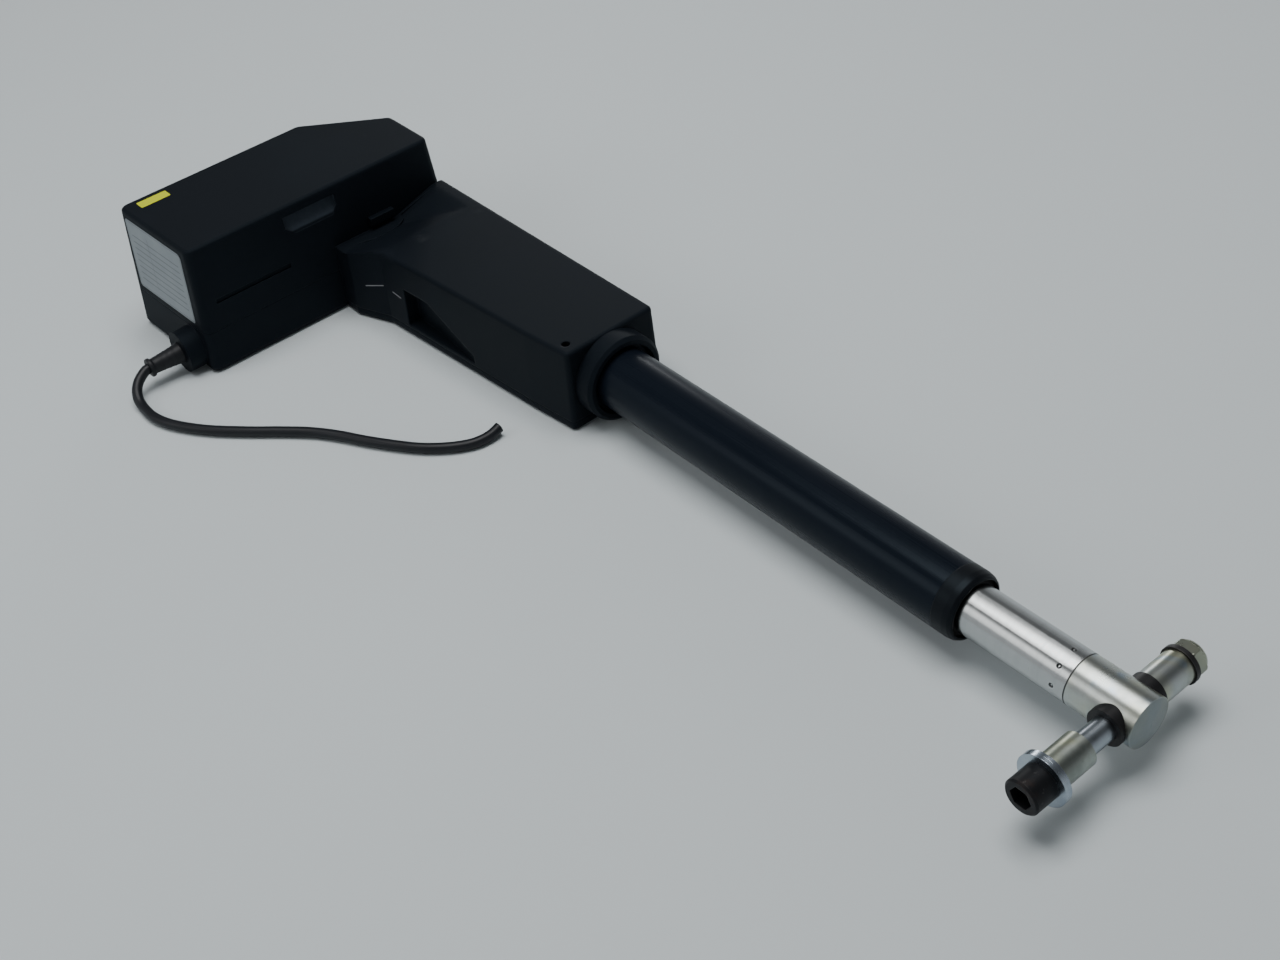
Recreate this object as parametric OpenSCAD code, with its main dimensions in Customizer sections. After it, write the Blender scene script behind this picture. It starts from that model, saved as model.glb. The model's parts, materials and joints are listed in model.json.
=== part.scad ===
// Electric linear actuator: a motor case across the spindle, a gear arm, an outer tube and a push rod.
// It lies on its side. The spindle runs along X, the motor along Y, and the floor is at z = 0.

/* [Motor case] */
// Length of the case along the motor, at the parting line
case_len = 179.5; // [150:0.5:220]
// Depth of the case along the spindle, at the parting line
case_depth = 86; // [80:0.5:110]
// Height of the case
case_h = 82; // [78:0.5:110]
// Height of the parting line between the two shells
case_split = 27; // [27:0.5:36]
// Wall of the case shells
case_wall = 3; // [2:0.1:4]
// Radius of the upright corners of the case
case_r = 5; // [2:0.5:10]
// Chamfered corner, measured along the spindle
corner_x = 38.5; // [10:0.5:44]
// Chamfered corner, measured along the motor
corner_y = 48; // [10:1:52]
// Draft of the mouldings, in degrees
draft = 2.5; // [0.5:0.1:4]
// Draft of the case's label end, in degrees
end_draft = 4.2; // [0.5:0.1:5]
// Distance from the spindle to the far side of the case and the arm, at the floor
far_side = 33.6; // [32:0.1:45]
// Draft of that far side, in degrees
far_draft = 3.6; // [0.5:0.1:6]
// Lean of the arm's far side (degrees)
arm_far_draft = 1.3; // [0:0.1:4]
// How much further the near end reaches at the back than at the front
end_skew = 3.5; // [0:0.5:6]
// Gap between the two shells at the parting line
seam_gap = 0.3; // [0.1:0.05:0.6]

/* [Finger recess and slot] */
// Width of the finger recess in the front face
recess_w = 36; // [20:1:44]
// Height of the finger recess
recess_h = 12.5; // [8:0.5:14]
// Depth of the finger recess
recess_depth = 8; // [5:0.5:9]
// Centre of the recess from the spindle, along the motor
recess_y = 59.5; // [50:0.5:90]
// Height of the recess floor at its mouth
recess_z = 63; // [55:0.5:66]
// Length of the latch slot on the parting line
slot_len = 51; // [20:1:70]
// Centre of the latch slot from the spindle
slot_y = 106; // [80:1:115]
// Opening of the slot, up and down
slot_h = 3; // [1:0.5:5]
// Height of the slot above the floor
slot_z = 45; // [40:0.5:50]

/* [Arm] */
// Length of the arm from the case to its end face
arm_len = 202; // [170:1:320]
// Distance from the spindle to the near side at the arm's end, at the floor
arm_near = 30.5; // [28:0.5:36]
// Distance from the spindle to the near side of the arm at its root
arm_root = 43; // [36:0.5:50]
// Height of the arm
arm_h = 52; // [50:0.5:64]
// Height of the cover that closes the arm from below
arm_split = 6; // [5:0.5:7]
// Wall of the arm shells
arm_wall = 3; // [2:0.1:4]
// Distance from the spindle to the near side of the shoulder
shoulder_y = 52; // [46:0.5:60]
// Length of the shoulder's near side
shoulder_len = 14; // [8:0.5:30]
// Place where the shoulder ends in the arm's near side
shoulder_end = 38; // [30:0.5:60]
// Drop of the arm's top face where it meets the case
ramp_drop = 9; // [2:0.5:9]
// Length of the arm's chamfered end on the near side
arm_end_len = 34; // [10:1:60]
// Start of the pocket in the arm's near side
pocket_x0 = 56; // [50:1:70]
// End of the pocket in the arm's near side
pocket_x1 = 118; // [90:1:140]
// Depth of the pocket
pocket_depth = 9; // [4:0.5:12]
// Height of the pocket's floor
pocket_z0 = 8; // [6:0.5:10]
// Height of the pocket's roof at its deep end
pocket_z1 = 33; // [24:0.5:36]
// Height of the pocket's roof at its shallow end
pocket_z2 = 13; // [12:0.5:20]
// Diameter of the drain hole in the arm's top face
drain_d = 5; // [3:0.5:8]

/* [Collar and outer tube] */
// Diameter of the collar at the arm's end
collar_d = 51; // [46:0.5:60]
// Length of the collar in front of the arm
collar_len = 12; // [6:0.5:20]
// Outside diameter of the outer tube
tube_d = 36; // [34:0.5:40]
// Wall of the outer tube
tube_wall = 2; // [1.5:0.1:3]
// Length of the outer tube from the arm's end face to the end cap
tube_out = 251.5; // [220:0.5:420]
// Length of the tube end cap
cap_len = 11.5; // [8:0.5:20]
// Depth of the cap's stepped lip around the wiper
lip_depth = 3; // [2:0.5:5]

/* [Push rod] */
// Outside diameter of the push rod
rod_d = 26; // [24:0.5:27]
// Wall of the push rod
rod_wall = 2.5; // [2:0.1:4]
// Distance that the rod stands out of the cap, up to the head's seam
rod_out = 60.7; // [50:0.1:90]
// Length of the rod head from its seam to its end
head_len = 36.5; // [30:0.5:60]
// Distance from the head's seam to the cross bore
bore_from_seam = 23.8; // [16:0.1:26]
// Rise of the head's domed end
dome_rise = 1.6; // [0.5:0.1:4]
// Travel inwards from the rest position
travel_in = 45; // [10:1:45]
// Travel outwards from the rest position
travel_out = 235; // [50:1:235]
// Crimp dimples around the rod
dimples = 8; // [4:1:12]
// Diameter of a crimp dimple
dimple_d = 3.4; // [2:0.1:5]

/* [Cross bolt] */
// Diameter of the cross bolt
bolt_d = 12; // [10:0.5:12]
// Outside diameter of the bushes
bush_d = 18.6; // [16:0.2:20]
// Length of a bush that stands out of the head
bush_out = 2; // [1:0.1:3]
// Length of a bush inside the head
bush_in = 9; // [5:0.5:11]
// Diameter of the bolt head
bolt_head_d = 18; // [16:0.5:20]
// Height of the bolt head
bolt_head_h = 13; // [8:0.5:16]
// Width across the flats of the bolt's socket
socket_af = 10; // [8:0.5:10]
// Outside diameter of the sleeves on the bolt
sleeve_d = 17.4; // [15:0.1:20]
// Length of the near sleeve
near_len = 20.5; // [10:0.5:30]
// Length of bare bolt between the head and the near sleeve
bare_len = 15.7; // [5:0.1:25]
// Length of the far spacer
far_len = 19.5; // [10:0.5:30]
// Diameter of the near washers
washer_d = 26; // [22:0.5:30]
// Thickness of one near washer
washer_t = 1.8; // [1:0.1:3]
// Diameter of the far washer
far_washer_d = 19.5; // [18:0.5:26]
// Thickness of the far washer
far_washer_t = 2.4; // [1:0.1:3]
// Width across the flats of the nut
nut_af = 17; // [16:0.5:20]
// Height of the nut
nut_h = 8; // [6:0.5:14]

/* [Worm drive] */
// Teeth on the worm wheel
wheel_teeth = 24; // [20:1:30]
// Module of the worm wheel
gear_module = 1.5; // [1.2:0.05:1.6]
// Pitch diameter of the worm
worm_pitch_d = 12; // [11:0.5:14]
// Face width of the worm wheel
wheel_face = 9; // [6:0.5:12]
// Length of the worm
worm_len = 24; // [18:0.5:30]
// Diameter of the spindle
spindle_d = 14; // [12:0.5:16]

/* [Motor] */
// Diameter of the motor
motor_d = 54; // [46:1:55]
// Room between the motor's end bell and the case's near wall, at the floor
motor_end_room = 20.58; // [16:0.01:40]
// Diameter of the motor shaft
shaft_d = 7; // [6:0.5:8]

/* [Rear mount] */
// Length of the rear lug behind the case
lug_len = 28.5; // [24:0.5:45]
// Diameter of the rear lug's round end
lug_d = 28; // [24:0.5:34]
// Width of the rear lug
lug_w = 24; // [16:0.5:30]
// Bore of the rear lug
lug_bore = 12.2; // [10:0.1:14]

/* [Cable] */
// Diameter of the cord
cord_d = 6.2; // [5:0.1:8]
// Diameter of the cable boss on the case
boss_d = 26; // [22:0.5:28]
// Length of the cable boss
boss_len = 10; // [8:0.5:20]
// Length of the strain relief
relief_len = 21.5; // [20:0.5:40]

/* [Hidden] */
$fn = 64;

corner_steps = 6;

// Clearances: between bodies, on a running fit, and between pieces that are fixed together
gap = 0.3;
run = 0.05;
seat = 0.02;

// Heights and places along the spindle, measured from the case's front face
axis_z = arm_h / 2;
case_front = 1;
case_back = case_front - case_depth;
arm_end = arm_len;
collar_end = arm_end + collar_len;
cap_start = arm_end + tube_out;
cap_end = cap_start + cap_len;
head_seam = cap_end + rod_out;
bore_x = head_seam + bore_from_seam;
head_end = head_seam + head_len;
lug_x = case_back - lug_len + lug_d / 2;
lug_tip = case_back - lug_len;

// Places along the motor, measured from the spindle
case_far = far_side;
case_near = case_far - case_len;
boss_end = case_near - boss_len;
relief_end = boss_end - relief_len;
rod_r = rod_d / 2;
bush_face = rod_r + bush_out;
sleeve_start = -bush_face - bare_len;
sleeve_end = sleeve_start - near_len;
bolt_seat = sleeve_end - 2 * washer_t - 2 * seat - gap;
bolt_head_end = bolt_seat - bolt_head_h;
spacer_start = bush_face + gap;
spacer_end = spacer_start + far_len;
far_washer_end = spacer_end + seat + far_washer_t;
nut_start = far_washer_end + seat;
nut_end = nut_start + nut_h;
bolt_end = nut_end + 1.6;

// The origin is in the middle of the footprint, on the floor
shift_x = -(lug_tip + max(head_end, bore_x + washer_d / 2)) / 2;
shift_y = -(boss_end + max(bolt_end, case_far)) / 2;

// Worm drive
wheel_r = gear_module * wheel_teeth / 2;
worm_r = worm_pitch_d / 2;
tooth_rise = 0.87 * gear_module;
mesh_gap = 0.35;
motor_x = -34;
motor_z = axis_z + wheel_r + worm_r;
worm_lead = PI * gear_module;
wheel_twist = 180 / PI * wheel_face * worm_lead / (PI * worm_pitch_d) / wheel_r;
gear_half = wheel_face / 2 + 1;
worm_bush_r = worm_r + 2.6;

// Gear case
gc_r = axis_z - case_wall - 0.7;
gc_step = motor_x - gear_half - 2.5;
gc_back = gc_step - 9.5;
gc_front = motor_x + 12;
gc_half_y = 20;
gc_top = motor_z + 12;
cover_t = 5;
bearing_r = 12;
bearing_w = 7;
bell_len = 12;
motor_start = -gc_r - seat;
motor_end = case_near + case_wall + motor_end_room + bell_len;
motor_len = motor_start - motor_end;
worm_half = worm_len / 2;
motor_r = motor_d / 2;
can_wall = 2;
magnet_t = 4;

// Tube, rod and spindle
gland_r = 14;
tube_r = tube_d / 2;
bore_r = tube_r - tube_wall;
tube_start = 26;
rod_in_r = rod_r - rod_wall;
rod_start = 105;
nut_flange = 14;
nut_spigot = 16;
spindle_r = spindle_d / 2;
spindle_start = gc_back + 1;
end_ring_t = 6;
spindle_end = rod_start + travel_out + nut_spigot + end_ring_t + 2;
guide_len = 28;
spigot_len = 20;
dimple_x = head_seam - 6.7;

// Drain hole in the arm's top face, near the arm's end
drain_x = arm_end - 8.5;
drain_y = -22;

// Screws: [x, y] in the case and in the arm
post_r = 4;
case_posts = [
    [-9, case_near + 10], [case_back + 9, case_near + 10], [case_back + 9, -32], [-9, case_far - 11]
];
arm_posts = [[50, case_far - 10], [arm_end - 12, case_far - 10], [46, -30], [arm_end - 14, -24]];
screw_r = 1.75;
screw_head_r = 3.4;

// Cable
boss_x = -18;
boss_z = boss_d / 2 + 0.3;
cord_z = cord_d / 2 + 0.1;
cord_sides = 10;
cord_steps = 2;
cord_route = [
    [boss_x, relief_end, boss_z], [-16.6, -183.2, 11.8], [-13.3, -188.5, 9.2], [-8, -192.1, 5.8],
    [0, -193.3, cord_z], [15, -193.1, cord_z], [30, -188, cord_z], [48, -177, cord_z], [66, -162, cord_z],
    [82, -147, cord_z], [96, -135, cord_z], [110, -126, cord_z], [125, -118, cord_z],
    [140, -109, cord_z], [153, -100, cord_z], [164, -89, cord_z], [171, -78, cord_z],
    [173, -68, cord_z + 0.4], [172, -60, cord_z + 1.5]
];

plastic = [0.09, 0.09, 0.1];
steel = [0.72, 0.72, 0.72];
zinc = [0.7, 0.71, 0.66];

module place() {
    translate([shift_x, shift_y, 0]) children();
}

// Round bars and rings along the spindle, along the motor and about any y line
module bar_x(x0, x1, r, z = axis_z) {
    translate([x0, 0, z]) rotate([0, 90, 0]) cylinder(h = x1 - x0, r = r);
}

module ring_x(x0, x1, r_out, r_in) {
    difference() {
        bar_x(x0, x1, r_out);
        bar_x(x0 - 1, x1 + 1, r_in);
    }
}

module bar_y(y0, y1, r, x, z) {
    translate([x, y0, z]) rotate([-90, 0, 0]) cylinder(h = y1 - y0, r = r);
}

module ring_y(y0, y1, r_out, r_in, x, z) {
    difference() {
        bar_y(y0, y1, r_out, x, z);
        bar_y(y0 - 1, y1 + 1, r_in, x, z);
    }
}

module box(lo, hi) {
    translate(lo) cube(hi - lo);
}

// Point where the two sides at corner q meet once they are moved inwards by d1 and d2
function meet(p, q, s, d1, d2) =
    let (n1 = side_normal(p, q), n2 = side_normal(q, s), det = n1[0] * n2[1] - n1[1] * n2[0])
    q + [d1 * n2[1] - d2 * n1[1], d2 * n1[0] - d1 * n2[0]] / det;

function side_normal(p, q) = let (d = q - p) [-d[1], d[0]] / norm(d);

// One level of a moulded block: sides moved in by insets, outward corners rounded by r
function level(outline, insets, r) = [
    for (i = [0:len(outline) - 1])
        let (n = len(outline), p = outline[(i + n - 1) % n], q = outline[i], s = outline[(i + 1) % n])
        let (d1 = insets[(i + n - 1) % n], d2 = insets[i])
        let (u = side_normal(p, q), v = side_normal(q, s))
        let (turn = atan2(u[0] * v[1] - u[1] * v[0], u * v), first = atan2(-u[1], -u[0]))
        let (c = meet(p, q, s, d1 + r, d2 + r))
        for (k = [0:corner_steps])
            if (turn > 0) c + r * [cos(first + turn * k / corner_steps), sin(first + turn * k / corner_steps)]
            else if (k == 0) meet(p, q, s, d1, d2)
];

// A block moulded up from z0 to z1: each side leans in by its own draft, and both edges are rounded
module moulded(outline, drafts, z0, z1, r, foot, edge, wall = 0) {
    foot_rings = [
        [z0 - 1, foot], for (k = [0, 45, 90]) [z0 + foot * (1 - cos(k)), foot * (1 - sin(k))]
    ];
    edge_rings = [for (k = [0:30:90]) [z1 - edge * (1 - sin(k)), edge * (1 - cos(k))]];
    rings = [
        for (l = concat(foot_rings, edge_rings))
            let (sides = [for (d = drafts) wall + l[1] + l[0] * tan(d)])
            [for (q = level(outline, sides, max(r - wall - l[1], 0.5))) [q[0], q[1], l[0]]]
    ];
    n = len(rings[0]);
    sides = [
        for (k = [0:len(rings) - 2]) for (j = [0:n - 1])
            let (m = (j + 1) % n)
            [(k + 1) * n + j, (k + 1) * n + m, k * n + m, k * n + j]
    ];
    floor_face = [for (j = [0:n - 1]) j];
    roof_face = [for (j = [n - 1:-1:0]) (len(rings) - 1) * n + j];
    difference() {
        polyhedron([for (ring = rings) each ring], concat([floor_face, roof_face], sides));
        box([-200, -250, z0 - 2], [300, 100, z0]);
    }
}

case_outline = [
    [case_front, case_near], [case_front, case_far], [case_back + corner_x, case_far],
    [case_back, case_far - corner_y], [case_back, case_near - end_skew]
];
case_drafts = [draft, far_draft, 1.4 * draft, draft, end_draft];

// The near side of the arm runs in towards its end face
function arm_side(x) = -arm_root + (arm_root - arm_near) * (x - shoulder_end) / (arm_end - shoulder_end);

knee_x = arm_end - arm_end_len;
arm_outline = [
    [-8, -shoulder_y], [shoulder_len, -shoulder_y], [shoulder_end, arm_side(shoulder_end)],
    [knee_x, arm_side(knee_x) - 0.8], [arm_end, -arm_near], [arm_end, case_far], [-8, case_far]
];
arm_drafts = [draft, draft, draft, draft, 0, arm_far_draft, 0];

module case_block() {
    moulded(case_outline, case_drafts, 0, case_h, case_r, 4, 2);
}

module case_room() {
    moulded(case_outline, case_drafts, case_wall, case_h - case_wall, case_r, 1.5, 1, case_wall);
}

module arm_block() {
    moulded(arm_outline, arm_drafts, 0, arm_h, 3, 3, 2);
}

// What is cut away to leave the part below, or above, a seam at height z
module below(z) {
    box([-150, -200, z - seam_gap / 2], [250, 100, z + 100]);
}

module above(z) {
    box([-150, -200, z - 100], [250, 100, z + seam_gap / 2]);
}

// Everything behind the case's front wall, grown by a clearance
module behind_front(clear) {
    high = case_h + 5;
    translate([case_front + clear, 90, 0]) rotate([90, 0, 0]) linear_extrude(260)
        polygon([[-30, -5], [5 * tan(draft), -5], [-high * tan(draft), high], [-30, high]]);
}

// Corner that the ramp takes off the arm's top face, fading out towards the far side
module ramp_cut() {
    low = arm_h - ramp_drop;
    top = arm_h + 1;
    intersection() {
        translate([0, 90, 0]) rotate([90, 0, 0]) linear_extrude(180)
            polygon([[-20, low], [10, low], [shoulder_end, arm_h], [shoulder_end + 3, top], [-20, top]]);
        translate([-30, 0, 0]) rotate([90, 0, 90]) linear_extrude(100)
            polygon([[-80, low - 1], [-9, low - 1], [24, arm_h], [27, top], [-80, top]]);
    }
}

// Room for the tube, the spindle and the switch board inside the arm
module arm_room() {
    bar_x(tube_start - 1, arm_end + 1, tube_r + seat);
    bar_x(-20, tube_start, gland_r);
    box([shoulder_end + 2, -tube_r + 2, arm_wall],
        [arm_end - arm_wall, case_far - 5, arm_h - arm_wall]);
}

// Slanted pocket in the near side of the arm
module pocket_cut() {
    knee = pocket_x0 + 22;
    deep = arm_side(pocket_x0) + pocket_depth;
    intersection() {
        rotate([90, 0, 0]) linear_extrude(80) polygon([
            [pocket_x0, pocket_z0], [pocket_x1, pocket_z0], [pocket_x1, pocket_z2],
            [knee, pocket_z1], [pocket_x0, pocket_z1]
        ]);
        linear_extrude(arm_h) polygon([
            [pocket_x0 - 1, -80], [pocket_x1 + 1, -80], [pocket_x1 + 1, arm_side(pocket_x1) + 1],
            [knee, deep], [pocket_x0 - 1, deep]
        ]);
    }
}

module posts(places, r, z0, z1) {
    for (p = places) translate([p[0], p[1], z0]) cylinder(h = z1 - z0, r = r);
}

module lower_case() {
    color(plastic) place() difference() {
        union() {
            difference() {
                case_block();
                case_room();
            }
            posts(case_posts, post_r, case_wall / 2, case_split);
            bar_y(boss_end, case_near + 4, boss_d / 2, boss_x, boss_z);
        }
        below(case_split);
        posts(case_posts, screw_r + seat, -1, case_h);
        posts(case_posts, screw_head_r + 0.1, -1, 5);
        bar_y(boss_end - 1, case_near + 9, 5, boss_x, boss_z);
        bar_x(-10, 10, gland_r);
        lug_way();
    }
}

// Opening in the back of the case for the lug
module lug_way() {
    box([case_back - 1, -lug_w / 2 - 0.1, axis_z - lug_d / 2 - 0.1],
        [gc_back - 1, lug_w / 2 + 0.1, axis_z + lug_d / 2 + 0.1]);
}

module latch_slot() {
    box([-4.5, -slot_y - slot_len / 2, slot_z - slot_h / 2],
        [2, -slot_y + slot_len / 2, slot_z + slot_h / 2]);
}

module upper_case() {
    color(plastic) place() difference() {
        union() {
            difference() {
                case_block();
                difference() {
                    case_room();
                    finger_recess(2.4);
                }
            }
            posts(case_posts, post_r, case_split, case_h - case_wall / 2);
        }
        above(case_split);
        posts(case_posts, screw_r + seat, case_split - 1, case_h - 14);
        finger_recess(0);
        latch_slot();
        bar_x(-10, 10, gland_r);
        lug_way();
    }
}

// Scoop for a finger: its floor slopes in towards a lip at the top; grow adds the wall around it
module finger_recess(grow) {
    w = recess_w / 2 + grow;
    low = recess_z - grow;
    top = recess_z + recess_h + grow;
    intersection() {
        translate([0, -recess_y + w, 0]) rotate([90, 0, 0]) linear_extrude(2 * w) polygon([
            [3, low], [-2 - grow, low], [-recess_depth - grow, top - grow], [-recess_depth - grow, top],
            [3, top]
        ]);
        translate([-30, -recess_y, 0]) rotate([90, 0, 90]) linear_extrude(40) polygon([
            [-w, top], [w, top], [w, low + 5], [w - 4, low], [6 - w, low], [-w, low + 5]
        ]);
    }
}

module arm_bottom_shell() {
    color(plastic) place() difference() {
        union() {
            difference() {
                arm_block();
                arm_room();
            }
            posts(arm_posts, post_r, 2, arm_split);
        }
        below(arm_split);
        box([-20, -80, -1], [case_front + seat, 80, arm_split + 1]);
        posts(arm_posts, screw_r + seat, -1, arm_h);
        posts(arm_posts, screw_head_r + 0.1, -1, 4);
    }
}

module arm_top_shell() {
    color(plastic) place() difference() {
        union() {
            difference() {
                arm_block();
                arm_room();
            }
            posts(arm_posts, post_r, arm_split, arm_h - 2);
        }
        above(arm_split);
        pocket_cut();
        ramp_cut();
        behind_front(seat);
        posts(arm_posts, screw_r + seat, arm_split - 1, arm_h - 12);
        translate([drain_x, drain_y, axis_z]) cylinder(h = arm_h, r = drain_d / 2);
    }
}

// Snap tab that holds the upper case down at the arm
module case_clip() {
    color(plastic) place() difference() {
        box([-6, -24, 46], [2.5, -7, 51]);
        behind_front(seat);
        box([-10, -21, 45], [1.2, -10, 48]);
    }
}

module screw(x, y, z0, z1) {
    translate([x, y, z0]) {
        difference() {
            cylinder(h = 3, r = screw_head_r);
            translate([0, 0, -1]) cylinder(h = 2.6, r = 1.6, $fn = 6);
        }
        cylinder(h = z1 - z0, r = screw_r);
    }
}

module case_screws() {
    color(steel) place() for (p = case_posts) screw(p[0], p[1], 2, case_h - 16);
}

module arm_screws() {
    color(steel) place() for (p = arm_posts) screw(p[0], p[1], 1, arm_h - 15);
}

module collar_ring() {
    color(plastic) place() translate([arm_end, 0, axis_z]) rotate([0, 90, 0]) rotate_extrude()
        polygon([[tube_r + seat, seat], [collar_d / 2, seat], [collar_d / 2, collar_len - 2],
                 [collar_d / 2 - 2, collar_len], [tube_r + 3, collar_len],
                 [tube_r + 2, collar_len - 4], [tube_r + seat, collar_len - 4]]);
}

module outer_tube() {
    color([0.05, 0.05, 0.05]) place() ring_x(tube_start, cap_start, tube_r, bore_r);
}

module tube_end_cap() {
    color([0.07, 0.07, 0.08]) place() translate([cap_start + seat, 0, axis_z]) rotate([0, 90, 0])
        rotate_extrude()
            polygon([[rod_r + 0.6, 0], [tube_r, 0], [tube_r, cap_len - 5], [tube_r - 0.5, cap_len - 2],
                     [tube_r - 1.4, cap_len - 0.4], [tube_r - 2.2, cap_len],
                     [rod_r + 2.4, cap_len], [rod_r + 2.4, cap_len - lip_depth - 3],
                     [rod_r + 0.6, cap_len - lip_depth - 3]]);
}

module wiper_seal() {
    color([0.1, 0.1, 0.1]) place() translate([cap_end - lip_depth - 3 + 2 * seat, 0, axis_z])
        rotate([0, 90, 0]) rotate_extrude()
            polygon([[rod_r + run, 0.8], [rod_r + 0.8, 0], [rod_r + 2.4 - seat, 0],
                     [rod_r + 2.4 - seat, 3.2], [rod_r + 1, 3.6], [rod_r + run, 4.6]]);
}

module guide_bush() {
    color([0.85, 0.84, 0.78]) place()
        ring_x(cap_start - guide_len, cap_start - seat, bore_r - seat, rod_r + run);
}

module rear_lug() {
    color(zinc) place() difference() {
        union() {
            bar_y(-lug_w / 2, lug_w / 2, lug_d / 2, lug_x, axis_z);
            box([lug_x, -lug_w / 2, axis_z - lug_d / 2],
                [gc_back - seat, lug_w / 2, axis_z + lug_d / 2]);
        }
        bar_y(-lug_w, lug_w, lug_bore / 2, lug_x, axis_z);
        bar_x(spindle_start - 2, gc_back + 1, spindle_r + 1);
    }
}

module gear_case() {
    color([0.6, 0.61, 0.62]) place() difference() {
        union() {
            bar_x(gc_step, gc_front, gc_r);
            bar_x(gc_back, gc_step + 1, bearing_r + 2);
            box([motor_x - 11, -gc_r, axis_z], [gc_front, gc_half_y, gc_top]);
        }
        bar_x(motor_x - gear_half, gc_front + 1, wheel_r + 2.2);
        bar_x(gc_back - 1, gc_front, spindle_r + 1);
        bar_x(gc_back + 2, motor_x, bearing_r);
        bar_y(-gc_r - 1, gc_half_y + 1, worm_bush_r, motor_x, motor_z);
    }
}

module gear_cover() {
    color([0.6, 0.61, 0.62]) place() difference() {
        union() {
            bar_x(gc_front + seat, gc_front + cover_t, gc_r);
            bar_x(gc_front + seat, gc_front + cover_t + bearing_w, bearing_r + 2);
        }
        bar_x(gc_front - 1, gc_front + 20, spindle_r + 1);
        bar_x(gc_front + cover_t, gc_front + 30, bearing_r);
    }
}

module bearing(x0) {
    x1 = x0 + bearing_w - 2 * seat;
    ring_x(x0, x1, bearing_r - seat, bearing_r - 1.8);
    ring_x(x0, x1, spindle_r + 1.8, spindle_r + run);
    ring_x(x0 + 1.5, x1 - 1.5, bearing_r - 1.7, spindle_r + 1.7);
}

module spindle_bearings() {
    color(steel) place() {
        bearing(gc_back + 2 + seat);
        bearing(gc_front + cover_t + seat);
    }
}

module worm_bushes() {
    color([0.62, 0.5, 0.28]) place() {
        ring_y(worm_half + 2, gc_half_y, worm_bush_r - seat, shaft_d / 2 + run, motor_x, motor_z);
        ring_y(-gc_r, -worm_half - 2, worm_bush_r - seat, shaft_d / 2 + run, motor_x, motor_z);
    }
}

module motor_can() {
    color([0.35, 0.36, 0.38]) place() difference() {
        bar_y(motor_end, motor_start, motor_r, motor_x, motor_z);
        bar_y(motor_end - 1, motor_start - can_wall, motor_r - can_wall, motor_x, motor_z);
        bar_y(motor_end - 1, 0, shaft_d / 2 + 2, motor_x, motor_z);
    }
}

module motor_magnets() {
    r1 = motor_r - can_wall - seat;
    color([0.25, 0.25, 0.27]) place() difference() {
        ring_y(motor_end + 16, motor_start - 12, r1, r1 - magnet_t, motor_x, motor_z);
        box([motor_x - 8, motor_end, motor_z - 40], [motor_x + 8, motor_start, motor_z + 40]);
    }
}

module motor_end_bell() {
    color([0.16, 0.16, 0.17]) place() difference() {
        bar_y(motor_end - bell_len, motor_end - seat, motor_r, motor_x, motor_z);
        bar_y(motor_end - bell_len + 8, motor_end + 1, motor_r - 6, motor_x, motor_z);
        bar_y(motor_end - bell_len + 3, motor_end, shaft_d / 2 + run, motor_x, motor_z);
    }
}

module brush_holder() {
    color([0.3, 0.2, 0.12]) place() difference() {
        bar_y(motor_end + 1, motor_end + 6, motor_r - can_wall - seat, motor_x, motor_z);
        bar_y(motor_end, motor_end + 9, 11, motor_x, motor_z);
    }
}

module limit_switch_board() {
    color([0.1, 0.35, 0.2]) place()
        box([60, tube_r + 1.2, axis_z - 11], [arm_end - 24, tube_r + 2.8, axis_z + 11]);
}

module limit_switches() {
    color([0.1, 0.1, 0.1]) place() for (x = [64, arm_end - 48])
        box([x, tube_r + 2.8 + seat, axis_z - 5], [x + 18, case_far - 5.2, axis_z + 5]);
}

module motor_shaft() {
    color(steel) place()
        bar_y(motor_end - bell_len + 3.3, gc_half_y - 1, shaft_d / 2, motor_x, motor_z);
}

module rotor_core() {
    r = motor_r - can_wall - magnet_t - 0.6;
    color([0.5, 0.35, 0.2]) place() difference() {
        bar_y(motor_end + 18, motor_start - 14, r, motor_x, motor_z);
        bar_y(motor_end, 0, shaft_d / 2 + seat, motor_x, motor_z);
        for (a = [0:30:330])
            translate([motor_x, motor_end, motor_z]) rotate([0, a, 0])
                translate([-1, 0, r - 4]) cube([2, motor_len, 5]);
    }
}

module commutator() {
    color([0.72, 0.42, 0.25]) place()
        ring_y(motor_end + 2, motor_end + 14, 10, shaft_d / 2 + seat, motor_x, motor_z);
}

// Right-hand worm: an off-centre disc swept round, so that its axial section is a smooth wave
module worm() {
    turns = worm_len / worm_lead;
    color(steel) place() translate([motor_x, 0, motor_z]) rotate([-90, 0, 0]) difference() {
        translate([0, 0, -worm_half]) rotate([0, 0, 90 - 180 * turns])
            linear_extrude(worm_len, twist = -360 * turns, slices = round(10 * turns), $fn = 20)
                translate([tooth_rise, 0]) circle(r = worm_r, $fn = 20);
        translate([0, 0, -worm_len]) cylinder(h = 2 * worm_len, r = shaft_d / 2 + seat);
    }
}

module spindle() {
    color(steel) place() bar_x(spindle_start, spindle_end, spindle_r);
}

// Points of the worm wheel's wave-shaped teeth, with a tooth space facing the worm
function wheel_points() = [
    for (i = [0:6 * wheel_teeth - 1])
        let (a = 360 * i / (6 * wheel_teeth))
        let (r = wheel_r - mesh_gap - tooth_rise * cos(wheel_teeth * (a - 180)))
        [r * cos(a), r * sin(a)]
];

module worm_wheel() {
    color([0.9, 0.88, 0.8]) place() translate([motor_x, 0, axis_z]) rotate([0, 90, 0]) difference() {
        translate([0, 0, -wheel_face / 2]) rotate([0, 0, -wheel_twist / 2])
            linear_extrude(wheel_face, twist = -wheel_twist, slices = 3) polygon(wheel_points());
        translate([0, 0, -wheel_face]) cylinder(h = 2 * wheel_face, r = spindle_r + seat);
    }
}

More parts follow.
